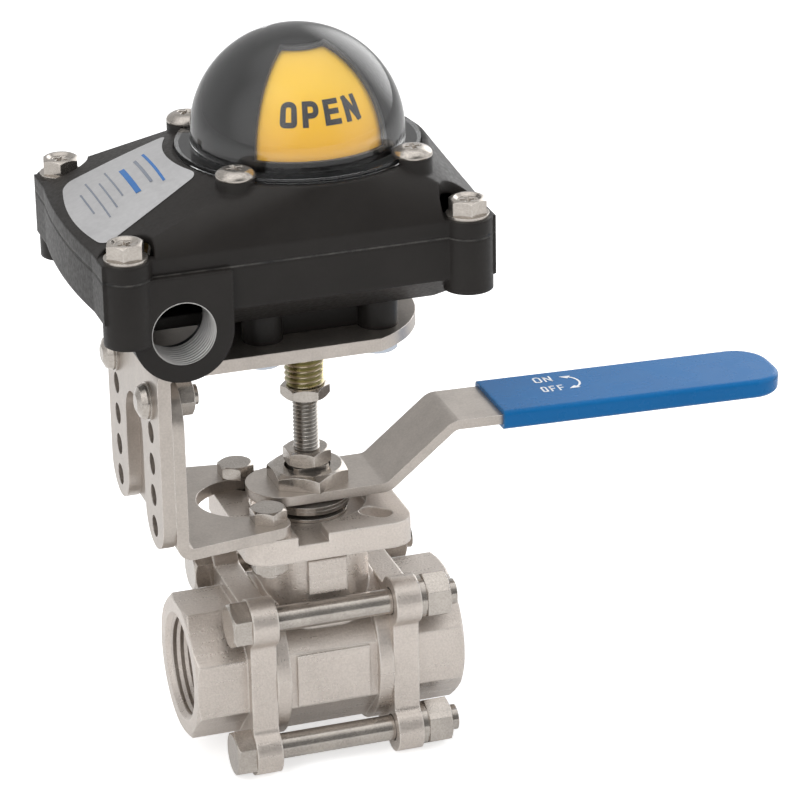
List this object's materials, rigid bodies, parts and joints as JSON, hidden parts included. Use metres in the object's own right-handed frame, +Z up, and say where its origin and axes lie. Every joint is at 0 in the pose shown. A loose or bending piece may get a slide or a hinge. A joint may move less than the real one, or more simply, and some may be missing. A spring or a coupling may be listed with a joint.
{
  "type": "valve limit switch box",
  "caption": "Limit switch box with a domed position indicator, bolted on brackets over a lever-operated ball valve whose stem turns its shaft.",
  "frame": {"origin": "centre of the valve's ball, on the pipe's axis and the stem's axis", "axes": "+X along the pipe towards the handle's grip, +Y to the rear cable entry, +Z up the stem to the indicator"},
  "size_m": [0.2238, 0.091, 0.228],
  "materials": {
    "cast_stainless": "satin investment casting",
    "stainless": "satin stainless steel",
    "zinc_steel": "bright zinc plate",
    "yellow_zinc_steel": "yellow chromate zinc plate",
    "black_cast_aluminium": "satin black powder coat",
    "blue_vinyl": "glossy dipped vinyl",
    "seat_plastic": "matt",
    "rubber": "matt",
    "clear_plastic": "clear",
    "black_plastic": "matt",
    "yellow_plastic": "satin",
    "green_plastic": "matt",
    "red_plastic": "matt",
    "grey_plastic": "matt",
    "brass": "turned"
  },
  "bodies": {
    "valve_and_box": {"base_housing": "black_cast_aluminium", "body_bolts": "stainless", "body_nuts": "stainless", "body_seal_left": "seat_plastic", "body_seal_right": "seat_plastic", "body_spring_washers": "stainless", "box_fixing_screws": "zinc_steel", "bracket_side_nuts": "stainless", "bracket_side_screws": "stainless", "closed_switch": "black_plastic", "conduit_plug": "brass", "cover": "black_cast_aluminium", "cover_bolt_washers": "stainless", "cover_bolts": "stainless", "cover_gasket": "rubber", "dome_screws": "stainless", "dome_seal": "rubber", "end_cap_left": "cast_stainless", "end_cap_right": "cast_stainless", "gland_ring": "stainless", "indicator_dome": "clear_plastic", "indicator_mask": "black_plastic", "lower_bracket": "stainless", "open_switch": "black_plastic", "pad_bolts": "stainless", "pad_nuts": "stainless", "plate_screws": "stainless", "seat_left": "seat_plastic", "seat_right": "seat_plastic", "shaft_bush": "brass", "stem_packing": "seat_plastic", "switch_plate": "stainless", "switch_screws": "stainless", "terminal_block": "grey_plastic", "terminal_screws": "brass", "toothed_washers": "stainless", "upper_bracket": "stainless", "valve_body": "cast_stainless"},
    "drive_train": {"stem": "stainless", "ball": "stainless", "belleville_washers": "stainless", "handle_lever": "stainless", "handle_sleeve": "blue_vinyl", "handle_nut": "stainless", "coupling_lower_nut": "zinc_steel", "coupling_upper_nut": "zinc_steel", "coupling_stud": "zinc_steel", "coupling_sleeve": "yellow_zinc_steel", "switch_shaft": "stainless", "shaft_oring": "rubber", "shaft_circlip": "stainless", "open_cam": "green_plastic", "closed_cam": "red_plastic", "cam_spring": "stainless", "indicator_rotor": "yellow_plastic", "indicator_screw": "stainless"},
    "open_lever": {"open_switch_lever": "stainless"},
    "closed_lever": {"closed_switch_lever": "stainless"},
    "open_button": {"open_switch_button": "red_plastic"},
    "closed_button": {"closed_switch_button": "red_plastic"}
  },
  "joints": [
    {"name": "drive_turn", "type": "hinge", "parent": "valve_and_box", "child": "drive_train", "pos_m": [0, 0, 0.08], "axis": [0, 0, 1], "range_deg": [-90, 0]},
    {"name": "open_lever_swing", "type": "hinge", "parent": "valve_and_box", "child": "open_lever", "pos_m": [-0.0149, -0.0115, 0.134], "axis": [0, 0, 1], "range_deg": [-8, 0]},
    {"name": "closed_lever_swing", "type": "hinge", "parent": "valve_and_box", "child": "closed_lever", "pos_m": [-0.0149, -0.0115, 0.1446], "axis": [0, 0, 1], "range_deg": [0, 8]},
    {"name": "open_button_slide", "type": "slide", "parent": "valve_and_box", "child": "open_button", "axis": [1, 0, 0], "range_m": [0, 0.00055]},
    {"name": "closed_button_slide", "type": "slide", "parent": "valve_and_box", "child": "closed_button", "axis": [1, 0, 0], "range_m": [-0.00055, 0]}
  ],
  "couplings": [
    {"joint": "open_lever_swing", "follows": "drive_turn", "ratio": 0.087233},
    {"joint": "closed_lever_swing", "follows": "drive_turn", "ratio": -0.087233},
    {"joint": "open_button_slide", "follows": "drive_turn", "m_per_rad": -0.0003359},
    {"joint": "closed_button_slide", "follows": "drive_turn", "m_per_rad": 0.0003359}
  ]
}
